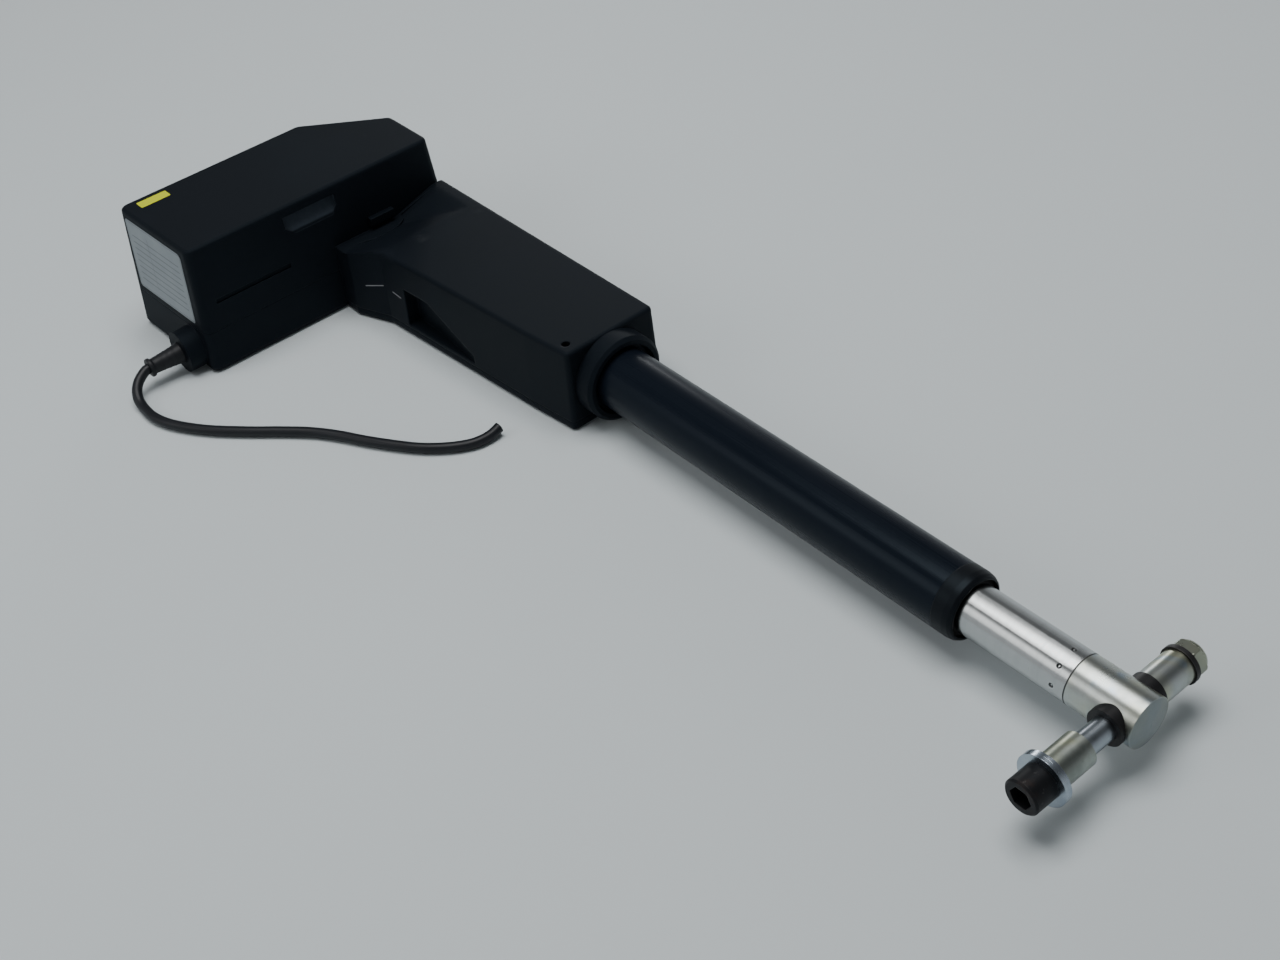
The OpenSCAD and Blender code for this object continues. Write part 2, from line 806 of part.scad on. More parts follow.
module wheel_lock_ring() {
    color(steel) place()
        ring_x(motor_x + wheel_face / 2 + seat, gc_front - 1, spindle_r + 3, spindle_r + seat);
}

module spindle_end_ring() {
    color([0.85, 0.84, 0.78]) place() difference() {
        bar_x(spindle_end - end_ring_t, spindle_end + 1, rod_in_r - gap);
        bar_x(spindle_end - end_ring_t - 1, spindle_end + seat, spindle_r + seat);
    }
}

module push_rod() {
    color(steel) place() difference() {
        ring_x(rod_start, head_seam - seat, rod_r, rod_in_r);
        for (i = [0:dimples - 1])
            translate([dimple_x, 0, axis_z]) rotate([360 / dimples * i - 5.5, 0, 0])
                translate([0, 0, rod_r + 1]) sphere(d = dimple_d, $fn = 24);
    }
}

module drive_nut() {
    color([0.9, 0.88, 0.8]) place() difference() {
        union() {
            bar_x(rod_start - nut_flange, rod_start - seat, bore_r - gap);
            bar_x(rod_start - 1, rod_start + nut_spigot, rod_in_r - seat);
        }
        bar_x(rod_start - nut_flange - 1, rod_start + nut_spigot + 1, spindle_r + run);
    }
}

module rod_head() {
    dome_r = (rod_r * rod_r + dome_rise * dome_rise) / (2 * dome_rise);
    color(zinc) place() difference() {
        union() {
            bar_x(head_seam - spigot_len, head_seam + 1, rod_in_r - seat);
            translate([head_seam, 0, axis_z]) rotate([0, 90, 0]) rotate_extrude() intersection() {
                square([rod_r, head_len]);
                translate([0, head_len - dome_r]) circle(r = dome_r);
            }
        }
        bar_y(-rod_d, rod_d, bush_d / 2, bore_x, axis_z);
    }
}

module head_bushes() {
    color([0.05, 0.05, 0.05]) place() for (s = [-1, 1])
        translate([bore_x, 0, axis_z]) rotate([s * 90, 0, 0]) difference() {
            translate([0, 0, rod_r - bush_in]) cylinder(h = bush_in + bush_out, r = bush_d / 2 - seat);
            cylinder(h = 3 * rod_r, r = bolt_d / 2 + run);
        }
}

module cross_bolt() {
    r = bolt_head_d / 2;
    color([0.08, 0.08, 0.08]) place() translate([bore_x, 0, axis_z]) rotate([-90, 0, 0]) difference() {
        rotate_extrude() polygon([
            [0, bolt_head_end], [r - 1, bolt_head_end], [r, bolt_head_end + 1], [r, bolt_seat],
            [bolt_d / 2, bolt_seat], [bolt_d / 2, bolt_end - 1], [bolt_d / 2 - 1, bolt_end],
            [0, bolt_end]
        ]);
        translate([0, 0, bolt_head_end - 1])
            cylinder(h = 7, d = socket_af / cos(30), $fn = 6);
    }
}

module near_washers() {
    r0 = bolt_d / 2 + 0.25;
    color(zinc) place() for (i = [0, 1])
        ring_y(bolt_seat + seat + i * (washer_t + seat), bolt_seat + seat + i * (washer_t + seat) + washer_t,
               washer_d / 2, r0, bore_x, axis_z);
}

module near_sleeve() {
    color(zinc) place()
        ring_y(sleeve_end, sleeve_start, sleeve_d / 2, bolt_d / 2 + run, bore_x, axis_z);
}

module far_spacer() {
    color(zinc) place()
        ring_y(spacer_start, spacer_end, sleeve_d / 2, bolt_d / 2 + seat, bore_x, axis_z);
}

module far_washer() {
    color([0.06, 0.06, 0.06]) place()
        ring_y(spacer_end + seat, far_washer_end, far_washer_d / 2, bolt_d / 2 + seat, bore_x, axis_z);
}

module hex_nut() {
    color(zinc) place() translate([bore_x, nut_start, axis_z]) rotate([-90, 0, 0]) difference() {
        intersection() {
            cylinder(h = nut_h, d = nut_af / cos(30), $fn = 6);
            rotate_extrude() polygon([
                [0, 0], [nut_af / 2, 0], [nut_af / 2 + 1.6, 1], [nut_af / 2 + 1.6, nut_h - 1],
                [nut_af / 2, nut_h], [0, nut_h]
            ]);
        }
        translate([0, 0, -1]) cylinder(h = nut_h + 2, r = bolt_d / 2 + seat);
    }
}

module strain_relief() {
    color([0.16, 0.17, 0.19]) place() translate([boss_x, 0, boss_z]) rotate([-90, 0, 0])
        rotate_extrude() polygon([
            [0, relief_end], [5.8, relief_end], [5.8, relief_end + 2.5], [4.7, relief_end + 3],
            [6.6, boss_end - seat], [4.9, boss_end - seat], [4.9, boss_end + 8], [0, boss_end + 8]
        ]);
}

// The cord: rings of points swept along a smooth curve through the route
function smooth(p0, p1, p2, p3, t) =
    0.5 * (2 * p1 + (p2 - p0) * t + (2 * p0 - 5 * p1 + 4 * p2 - p3) * t * t
           + (3 * p1 - p0 - 3 * p2 + p3) * t * t * t);

function route_point(k) =
    let (n = len(cord_route) - 1)
    let (i = min(floor(k / cord_steps), n - 1))
    let (t = k / cord_steps - i)
    smooth(cord_route[max(i - 1, 0)], cord_route[i], cord_route[i + 1], cord_route[min(i + 2, n)], t);

function unit(v) = v / norm(v);

module cord() {
    count = cord_steps * (len(cord_route) - 1);
    centres = [for (k = [0:count]) route_point(k)];
    heading = [
        for (k = [0:count])
            k == 0 ? [0, -1, 0] : unit(centres[min(k + 1, count)] - centres[k - 1])
    ];
    side = [for (h = heading) unit(cross(h, [0, 0, 1]))];
    points = [
        for (k = [0:count]) for (j = [0:cord_sides - 1])
            let (a = 360 * j / cord_sides)
            centres[k] + cord_d / 2 * (cos(a) * side[k] + sin(a) * cross(side[k], heading[k]))
    ];
    walls = [
        for (k = [0:count - 1]) for (j = [0:cord_sides - 1])
            let (n = (j + 1) % cord_sides)
            [k * cord_sides + j, k * cord_sides + n, (k + 1) * cord_sides + n, (k + 1) * cord_sides + j]
    ];
    first = [for (j = [cord_sides - 1:-1:0]) j];
    last = [for (j = [0:cord_sides - 1]) count * cord_sides + j];
    color([0.3, 0.31, 0.33]) place() polyhedron(points, concat([first], walls, [last]));
}

lower_case();
upper_case();
arm_bottom_shell();
arm_top_shell();
case_clip();
case_screws();
arm_screws();
collar_ring();
outer_tube();
tube_end_cap();
wiper_seal();
guide_bush();
rear_lug();
gear_case();
gear_cover();
spindle_bearings();
worm_bushes();
motor_can();
motor_magnets();
motor_end_bell();
brush_holder();
limit_switch_board();
limit_switches();
motor_shaft();
rotor_core();
commutator();
worm();
spindle();
worm_wheel();
wheel_lock_ring();
spindle_end_ring();
push_rod();
drive_nut();
rod_head();
head_bushes();
cross_bolt();
near_washers();
far_spacer();
far_washer();
hex_nut();
near_sleeve();
strain_relief();
cord();
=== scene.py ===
import json
import math

import bmesh
import bpy
from mathutils import Matrix, Vector


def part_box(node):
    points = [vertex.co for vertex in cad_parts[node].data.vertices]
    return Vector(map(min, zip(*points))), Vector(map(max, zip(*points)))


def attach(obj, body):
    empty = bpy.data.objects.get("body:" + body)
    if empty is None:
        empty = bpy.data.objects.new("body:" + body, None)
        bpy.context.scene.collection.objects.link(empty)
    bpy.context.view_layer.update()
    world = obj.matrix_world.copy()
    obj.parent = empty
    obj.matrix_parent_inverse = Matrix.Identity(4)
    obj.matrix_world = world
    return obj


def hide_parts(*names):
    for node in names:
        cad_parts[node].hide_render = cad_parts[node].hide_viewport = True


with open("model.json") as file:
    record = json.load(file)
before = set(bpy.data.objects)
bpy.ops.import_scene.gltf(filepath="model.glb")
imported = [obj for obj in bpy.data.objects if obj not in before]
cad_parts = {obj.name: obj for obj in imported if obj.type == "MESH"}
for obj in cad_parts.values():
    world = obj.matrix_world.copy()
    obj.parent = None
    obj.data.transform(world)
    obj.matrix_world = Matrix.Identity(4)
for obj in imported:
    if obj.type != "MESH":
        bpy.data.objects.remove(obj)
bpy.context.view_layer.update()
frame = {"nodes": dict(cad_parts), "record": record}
cadNodes = frame["nodes"]
print("frame loaded:", len(cadNodes), "nodes")


# Sizes below are in millimetres from the spindle's line, where x = 0 is the arm's root
# and z = 0 is the surface that the column lies on.
spindleHeight = 26
frontFace = 1
frontLean = math.radians(2.5)
rootPlace = Vector((-224.5, 54.53, 0))


def at(x, y, z):
    return (Vector((x, y, z)) + rootPlace) / 1000


def settle(bm, matrix):
    # from millimetres along a piece's own axes to metres in the frame
    bmesh.ops.transform(bm, matrix=Matrix.Scale(0.001, 4) @ matrix, verts=bm.verts)


def lieOn(bm, middle, across, up, out):
    # a sheet made flat round zero is laid on a slanting face
    turn = Matrix((across, up, out)).transposed().to_4x4()
    settle(bm, Matrix.Translation(middle + rootPlace) @ turn)


def keep(bm, name, body, finish, smooth=True):
    # the finished mesh becomes an object at the origin that rides on a body
    bmesh.ops.remove_doubles(bm, verts=bm.verts, dist=1e-6)
    bmesh.ops.recalc_face_normals(bm, faces=bm.faces)
    mesh = bpy.data.meshes.new(name)
    bm.to_mesh(mesh)
    bm.free()
    for face in mesh.polygons:
        face.use_smooth = smooth
    piece = bpy.data.objects.new(name, mesh)
    bpy.context.scene.collection.objects.link(piece)
    mesh.materials.append(finish)
    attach(piece, body)
    return piece


# the camera, set by its place and its three axes
camera = {
    "place": (0.60140, -0.37399, 0.59285),
    "right": (0.638587, 0.763137, -0.099138),
    "up": (-0.453154, 0.477025, 0.753060),
    "ahead": (-0.621979, 0.435969, -0.650440),
    "lens": 48.222,
}


def makeCamera(c):
    data = bpy.data.cameras.new("studioCamera")
    data.lens = c["lens"]
    data.sensor_width = 36
    data.sensor_fit = "HORIZONTAL"
    data.clip_start = 0.01
    data.clip_end = 50
    seen = bpy.data.objects.new("studioCamera", data)
    turn = Matrix((c["right"], c["up"], [-n for n in c["ahead"]])).transposed()
    seen.matrix_world = Matrix.Translation(c["place"]) @ turn.to_4x4()
    bpy.context.scene.collection.objects.link(seen)
    bpy.context.scene.camera = seen


makeCamera(camera)
print("camera set")


class Link:
    # a socket that Python's operators turn into Math nodes
    def __init__(self, owner, socket):
        self.owner = owner
        self.socket = socket

    def math(self, operation, other=None, swapped=False):
        given = (other, self) if swapped else (self, other)
        sockets = {i: value for i, value in enumerate(given) if value is not None}
        return self.owner.add("ShaderNodeMath", {"operation": operation}, sockets)

    def __add__(self, other):
        return self.math("ADD", other)

    def __radd__(self, other):
        return self.math("ADD", other, swapped=True)

    def __sub__(self, other):
        return self.math("SUBTRACT", other)

    def __rsub__(self, other):
        return self.math("SUBTRACT", other, swapped=True)

    def __mul__(self, other):
        return self.math("MULTIPLY", other)

    def __rmul__(self, other):
        return self.math("MULTIPLY", other, swapped=True)

    def above(self, low, high):
        # 0 below low, 1 above high, and a soft step between
        return self.owner.add(
            "ShaderNodeMapRange",
            {"interpolation_type": "SMOOTHSTEP"},
            {"Value": self, "From Min": low, "From Max": high},
        )

    def within(self, low, high, fadeIn, fadeOut):
        # 1 between low and high, fading to 0 just inside each end
        return self.above(low, low + fadeIn) * (1 - self.above(high - fadeOut, high))


class Tree:
    # a node tree, with one way to add a node and one way to fill a socket
    def __init__(self, tree):
        self.tree = tree

    def add(self, kind, settings=None, sockets=None, out=0):
        node = self.tree.nodes.new(kind)
        for key, value in (settings or {}).items():
            if key == "stops":
                for stop, (place, colour) in zip(node.color_ramp.elements, value):
                    stop.position = place
                    stop.color = (*colour, 1)
            else:
                setattr(node, key, value)
        for key, value in (sockets or {}).items():
            self.feed(node.inputs[key], value)
        return Link(self, node.outputs[out])

    def feed(self, socket, value):
        if isinstance(value, Link):
            self.tree.links.new(value.socket, socket)
        else:
            socket.default_value = value

    def parts(self, vector):
        split = self.add("ShaderNodeSeparateXYZ", sockets={0: vector})
        return [Link(self, split.socket.node.outputs[axis]) for axis in ("X", "Y", "Z")]


class Finish(Tree):
    # one material and the few nodes that every finish is made from, its sizes in metres
    def __init__(self, name, colour, roughness, metallic=0.0, **constants):
        self.material = bpy.data.materials.new(name)
        self.material.use_nodes = True
        super().__init__(self.material.node_tree)
        self.shader = self.tree.nodes["Principled BSDF"]
        self.material.diffuse_color = (*colour, 1)
        self.set("Base Color", (*colour, 1))
        self.set("Roughness", roughness)
        self.set("Metallic", metallic)
        for socketName, value in constants.items():
            self.set(socketName.replace("_", " "), value)

    @classmethod
    def reopen(cls, material):
        finish = cls.__new__(cls)
        finish.material = material
        finish.tree = material.node_tree
        finish.shader = finish.tree.nodes["Principled BSDF"]
        return finish

    def source(self, socketName):
        # what already feeds one of the shader's sockets
        return Link(self, self.shader.inputs[socketName].links[0].from_socket)

    def vector(self, operation, first, second, out="Value"):
        return self.add("ShaderNodeVectorMath", {"operation": operation}, {0: first, 1: second}, out)

    def coords(self):
        return self.add("ShaderNodeTexCoord", out="Object")

    def set(self, socketName, value):
        self.feed(self.shader.inputs[socketName], value)

    def place(self, stretch=(1, 1, 1), centre=(0, 0, 0)):
        moved = tuple(-c * s for c, s in zip(centre, stretch))
        sockets = {"Vector": self.coords(), "Location": moved, "Scale": stretch}
        return self.add("ShaderNodeMapping", sockets=sockets)

    def noise(self, scale, detail=2.0, rough=0.5, stretch=(1, 1, 1), place=None, twist=0.0):
        sockets = {"Vector": place or self.place(stretch), "Scale": scale, "Detail": detail}
        sockets.update({"Roughness": rough, "Distortion": twist})
        return self.add("ShaderNodeTexNoise", sockets=sockets)

    def blend(self, first, second, factor):
        pick = {0: factor, 6: first, 7: second}
        pick = {k: (*v, 1) if isinstance(v, tuple) and len(v) == 3 else v for k, v in pick.items()}
        return self.add("ShaderNodeMix", {"data_type": "RGBA"}, pick, out=2)

    def softEdge(self, radius):
        return self.add("ShaderNodeBevel", {"samples": 4}, {"Radius": radius})

    def edges(self, radius, low=0.03, high=0.25):
        # 1 along sharp edges and 0 on open faces
        soft = self.softEdge(radius)
        flat = self.add("ShaderNodeNewGeometry", out="Normal")
        same = self.vector("DOT_PRODUCT", soft, flat)
        return (1 - same).above(low, high)

    def bump(self, height, distance, strength=1.0, below=None):
        sockets = {"Height": height, "Distance": distance, "Strength": strength}
        if below:
            sockets["Normal"] = below
        return self.add("ShaderNodeBump", sockets=sockets)

    def normal(self, value):
        self.set("Normal", value)


# the tint of what the black surfaces mirror
coolTint = (0.66, 0.86, 1.0, 1.0)


def mouldedPlastic(name, colour, dustAndPaintedLight, roughness, grainSize, grainDepth, edgeSize=0.0007):
    # spark-eroded grain, faint handling marks and a paler rub along the edges
    finish = Finish(name, colour, roughness, Specular_IOR_Level=0.13, Specular_Tint=coolTint)
    grain = finish.noise(1 / grainSize, 3, 0.6)
    clouds = finish.noise(14, 4, 0.6)
    rubbed = finish.edges(edgeSize)
    scuffs = finish.noise(60, 6, 0.75, (1, 3.5, 1)).above(0.60, 0.78)
    haze = clouds.above(0.4, 0.75) * 0.35 + scuffs * 0.25
    toned = finish.blend(colour, dustAndPaintedLight, haze)
    worn = finish.blend(toned, tuple(c * 1.9 + 0.012 for c in dustAndPaintedLight), rubbed * 0.35)
    finish.set("Base Color", worn)
    finish.set("Roughness", roughness - scuffs * 0.1 - rubbed * 0.12 + clouds * 0.08)
    soft = finish.softEdge(edgeSize)
    fine = finish.bump(grain, grainDepth, 0.8, soft)
    finish.normal(finish.bump(clouds, 0.00012, 0.4, fine))
    return finish.material


def coatedTube(name, colour):
    # semi-gloss coating over a drawn tube, with long faint drawing lines
    axisPlace = (0, rootPlace.y / 1000, spindleHeight / 1000)
    finish = Finish(name, colour, 0.3, Specular_IOR_Level=0.12, Specular_Tint=coolTint)
    finish.set("Coat Weight", 0.02)
    finish.set("Coat Roughness", 0.2)
    lines = finish.noise(170, 4, 0.65, place=finish.place((0.012, 1, 1), axisPlace))
    peel = finish.noise(420, 2, 0.5)
    clouds = finish.noise(18, 5, 0.6, (0.4, 1, 1))
    scratches = finish.noise(240, 6, 0.8, (0.2, 1, 1), twist=0.6).above(0.66, 0.72)
    finish.set("Base Color", finish.blend(colour, tuple(c * 1.7 + 0.004 for c in colour), clouds))
    finish.set("Roughness", 0.2 + lines * 0.1 + clouds * 0.06 + scratches * 0.15)
    soft = finish.softEdge(0.0004)
    drawn = finish.bump(lines, 0.00006, 0.5, soft)
    finish.normal(finish.bump(peel, 0.00002, 0.5, drawn))
    return finish.material


def platedSteel(name, pale, tint, dark, roughness, edgeSize=0.0003):
    # zinc plate: cloudy, slightly yellow and blue in turns, dull in the spots it was handled
    finish = Finish(name, pale, roughness, 1.0)
    clouds = finish.noise(55, 4, 0.6)
    tints = finish.noise(22, 3, 0.5, twist=0.8)
    specks = finish.noise(520, 2, 0.6).above(0.66, 0.80)
    pits = finish.noise(900, 2, 0.6)
    blue = finish.noise(31, 2, 0.5, (1, 1.4, 0.8), twist=1.4)
    tone = finish.blend(pale, tint, tints.above(0.40, 0.60) * 0.9)
    tone = finish.blend(tone, (0.30, 0.40, 0.52), blue.above(0.53, 0.68) * 0.6)
    tone = finish.blend(tone, dark, clouds.above(0.42, 0.7) * 0.6 + specks * 0.3)
    finish.set("Base Color", tone)
    finish.set("Roughness", roughness + clouds * 0.16 + specks * 0.1 - 0.06)
    fine = finish.bump(pits, 0.00002, 0.6, finish.softEdge(edgeSize))
    finish.normal(finish.bump(clouds, 0.00008, 0.3, fine))
    return finish.material


# the fine groove where the rod meets its head, with painted shade in it
rodSeam = {"x": at(525.7, 0, 0).x, "reach": 0.0005, "shade": (0.03, 0.03, 0.03)}


def seamLine(finish):
    # 1 in the groove
    away = (finish.parts(finish.coords())[0] - rodSeam["x"]).math("ABSOLUTE")
    return 1 - away.above(rodSeam["reach"] * 0.6, rodSeam["reach"])


def headFinish(name, pale, tint, dark, roughness, dullShadedEndPlace):
    # the head is plated like the sleeves, with the seam and a duller end face that carries painted
    # shade
    material = platedSteel(name, pale, tint, dark, roughness)
    finish = Finish.reopen(material)
    line = seamLine(finish)
    along = finish.parts(finish.coords())[0]
    dullShadedEnd = along.above(dullShadedEndPlace, dullShadedEndPlace + 0.0004)
    before = finish.source("Base Color")
    # painted shade on the end face, which is also made rougher
    tone = finish.blend(before, (0.22, 0.245, 0.25), dullShadedEnd * 0.85)
    # painted shade in the seam's groove
    finish.set("Base Color", finish.blend(tone, rodSeam["shade"], line * 0.9))
    finish.set("Roughness", finish.source("Roughness") + dullShadedEnd * 0.2 + line * 0.3)
    return material


# the crimps punched round the rod: bands of distance from each one's middle for the painted shade
# on its wall and the painted highlight on its rim, and a turn given in parts of their pitch
crimps = {
    "centre": tuple(at(519.0, 0, spindleHeight)), "radius": 0.013, "count": 8, "shift": 0.5 + 5.5 / 45,
    "wall": (0.0003, 0.0015, 0.0003, 0.0004), "rim": (0.0011, 0.0021, 0.0004, 0.0005),
}


def brushedRod(name, pale, dark, crimps):
    # stainless tube, polished round and round: rings of fine scratches with a few long rubs,
    # and a ring of punched crimps with painted shade in their walls and a painted highlight on their
    # rims
    finish = Finish(name, pale, 0.2, 1.0)
    rings = finish.noise(2600, 3, 0.7, (1, 0.02, 0.02))
    broad = finish.noise(230, 3, 0.6, (1, 0.06, 0.06))
    rubs = finish.noise(70, 5, 0.75, (0.15, 1, 1)).above(0.58, 0.8)
    clouds = finish.noise(30, 3, 0.5)
    tone = finish.blend(pale, dark, broad.above(0.45, 0.85) * 0.3 + rubs * 0.25 + clouds * 0.12)
    line = seamLine(finish)
    x, y, z = finish.parts(finish.place(centre=crimps["centre"]))
    turn = z.math("ARCTAN2", y) * (crimps["count"] / (2 * math.pi)) + crimps["shift"]
    aside = (turn.math("FRACT") - 0.5) * (2 * math.pi * crimps["radius"] / crimps["count"])
    away = (x * x + aside * aside).math("SQRT")
    # painted shade in each crimp's wall, then a painted highlight on its rim
    tone = finish.blend(tone, (0.03, 0.03, 0.032), away.within(*crimps["wall"]) * 0.92)
    tone = finish.blend(tone, (0.66, 0.68, 0.68), away.within(*crimps["rim"]) * 0.5)
    # painted shade in the seam's groove
    finish.set("Base Color", finish.blend(tone, rodSeam["shade"], line * 0.9))
    finish.set("Roughness", 0.16 + rings * 0.16 + rubs * 0.12 + line * 0.3)
    fine = finish.bump(rings, 0.00001, 0.4)
    finish.normal(finish.bump(broad, 0.00002, 0.2, fine))
    return finish.material


def blackedSteel(name, colour, rust):
    # oil-black oxide with a little brown rust in the low places
    finish = Finish(name, colour, 0.42, 0.55)
    clouds = finish.noise(90, 5, 0.65)
    freckles = finish.noise(420, 4, 0.7).above(0.6, 0.74)
    rubbed = finish.edges(0.0005)
    tone = finish.blend(colour, rust, clouds.above(0.55, 0.8) * 0.5 + freckles * 0.35)
    tone = finish.blend(tone, (0.22, 0.21, 0.2), rubbed * 0.45)
    finish.set("Base Color", tone)
    finish.set("Roughness", 0.34 + clouds * 0.22 + freckles * 0.12)
    fine = finish.bump(finish.noise(1100, 3, 0.6), 0.00003, 0.6, finish.softEdge(0.0005))
    finish.normal(finish.bump(clouds, 0.0001, 0.3, fine))
    return finish.material


# where the mould runs the ramp at the arm's root into its flat top with no crease
ramp = {"low": at(0, -46, 42), "high": at(52, 31, 60), "round": 0.0075}


def markedPlastic(name, colour, dustAndPaintedLight, roughness, grainSize, grainDepth, edgeSize, marks):
    # the moulded plastic of the arm, with the bright scores of a few knocks
    material = mouldedPlastic(name, colour, dustAndPaintedLight, roughness, grainSize, grainDepth, edgeSize)
    finish = Finish.reopen(material)
    coords = finish.coords()
    wobble = finish.noise(900, 2, 0.6)
    scored = None
    for start, end, width in marks:
        along = Vector(end) - Vector(start)
        offset = finish.vector("SUBTRACT", coords, tuple(start), "Vector")
        reach = finish.vector("DOT_PRODUCT", offset, tuple(along / along.length_squared))
        reach = finish.add("ShaderNodeClamp", sockets={"Value": reach})
        sockets = {0: tuple(along), "Scale": reach}
        nearest = finish.add("ShaderNodeVectorMath", {"operation": "SCALE"}, sockets)
        apart = finish.vector("DISTANCE", offset, nearest)
        line = 1 - (apart + wobble * width * 0.8).above(width * 0.7, width * 1.3)
        scored = line if scored is None else scored.math("MAXIMUM", line)
    before = finish.source("Base Color")
    finish.set("Base Color", finish.blend(before, (0.34, 0.34, 0.36), scored * 0.85))
    x, y, z = finish.parts(coords)
    low, high = ramp["low"], ramp["high"]
    inside = x.within(low.x, high.x, 0.004, 0.004) * y.within(low.y, high.y, 0.008, 0.006)
    inside = inside * z.above(low.z, low.z + 0.001)
    for node in finish.tree.nodes:
        if node.bl_idname == "ShaderNodeBevel":
            finish.feed(node.inputs["Radius"], inside * ramp["round"] + edgeSize)
    return material


# the finger recess in the case's front: its sides, how deep it runs and the painted light on its
# sloping floor
recess = {
    "y": (at(0, -79, 0).y, at(0, -40, 0).y), "z": (0.0605, 0.077), "deep": 0.013,
    "dustAndPaintedLight": (0.040, 0.050, 0.064),
}


def recessedPlastic(name, colour, dustAndPaintedLight, roughness, grainSize, grainDepth):
    # the case's plastic, with painted light on the sloping floor of the finger recess
    material = mouldedPlastic(name, colour, dustAndPaintedLight, roughness, grainSize, grainDepth)
    finish = Finish.reopen(material)
    x, y, z = finish.parts(finish.coords())
    behind = (x + z * math.tan(frontLean) + (0.0006 - at(frontFace, 0, 0).x)) * -1
    inside = behind.within(0, recess["deep"], 0.0006, 0.001) * y.within(*recess["y"], 0.0004, 0.0004)
    inside = inside * z.within(*recess["z"], 0.0005, 0.0005)
    # painted light on the recess floor, a little mottled
    paintedLitRecessFloor = inside * (0.6 + finish.noise(300, 4, 0.6) * 0.4)
    finish.set("Base Color", finish.blend(finish.source("Base Color"), recess["dustAndPaintedLight"], paintedLitRecessFloor))
    return material


# the bolt's thread, and the drive socket that rust has begun in
bolt = {"pitch": 0.00175, "socketMouth": 0.0165, "socketReach": (0.0050, 0.0066)}


def boltFinish(name, axisPlace, headPlace, tipPlace):
    # one forging: an oil-black head, a plated shank and a rolled thread at the tip
    finish = Finish(name, (0.5, 0.5, 0.5), 0.35, 1.0, Specular_IOR_Level=0.2)
    coords = finish.coords()
    along = finish.parts(coords)[1]
    shank = along.above(headPlace, headPlace + 0.0002)
    clouds = finish.noise(90, 5, 0.65)
    freckles = finish.noise(420, 4, 0.7).above(0.6, 0.74)
    rubbed = finish.edges(0.0005)
    black = finish.blend((0.013, 0.014, 0.016), (0.060, 0.030, 0.018), clouds.above(0.5, 0.8) * 0.4)
    black = finish.blend(black, (0.16, 0.15, 0.145), freckles * 0.3 + rubbed * 0.4)
    mouth = (axisPlace[0], headPlace - bolt["socketMouth"], axisPlace[1])
    socket = 1 - finish.vector("DISTANCE", coords, mouth).above(*bolt["socketReach"])
    black = finish.blend(black, (0.055, 0.026, 0.013), socket * clouds.above(0.3, 0.6) * 0.8)
    plated = finish.blend((0.34, 0.38, 0.42), (0.17, 0.19, 0.21), clouds.above(0.35, 0.75) * 0.8)
    finish.set("Base Color", finish.blend(black, plated, shank))
    finish.set("Metallic", 0.5 + shank * 0.5)
    finish.set("Roughness", 0.46 + freckles * 0.1 - shank * 0.16)
    turns = (along * (2 * math.pi / bolt["pitch"])).math("SINE")
    thread = turns * along.above(tipPlace, tipPlace + 0.0004)
    fine = finish.bump(finish.noise(1100, 3, 0.6), 0.00003, 0.6, finish.softEdge(0.0005))
    finish.normal(finish.bump(thread, 0.0004, 0.9, fine))
    return finish.material


def plainMetal(name, pale, dark, roughness, grain=(1, 1, 1), scale=700):
    # turned, ground or cast metal, told apart by the way its grain is stretched
    finish = Finish(name, pale, roughness, 1.0)
    lines = finish.noise(scale, 4, 0.65, grain)
    clouds = finish.noise(40, 3, 0.55)
    finish.set("Base Color", finish.blend(pale, dark, clouds * 0.4 + lines * 0.3))
    finish.set("Roughness", roughness + lines * 0.14 + clouds * 0.08 - 0.1)
    finish.normal(finish.bump(lines, 0.00003, 0.6, finish.softEdge(0.0004)))
    return finish.material


def softMoulding(name, colour, roughness, speckle, grainSize, **constants):
    # rubber, nylon, phenolic and ceramic: even colour with a speckle and a fine skin
    finish = Finish(name, colour, roughness, **constants)
    clouds = finish.noise(35, 4, 0.6)
    grain = finish.noise(1 / grainSize, 3, 0.6)
    tone = finish.blend(colour, speckle, clouds.above(0.4, 0.8) * 0.4 + grain.above(0.6, 0.8) * 0.4)
    finish.set("Base Color", tone)
    finish.set("Roughness", roughness + clouds * 0.12 - 0.06)
    finish.normal(finish.bump(grain, 0.00003, 0.6, finish.softEdge(0.0004)))
    return finish.material


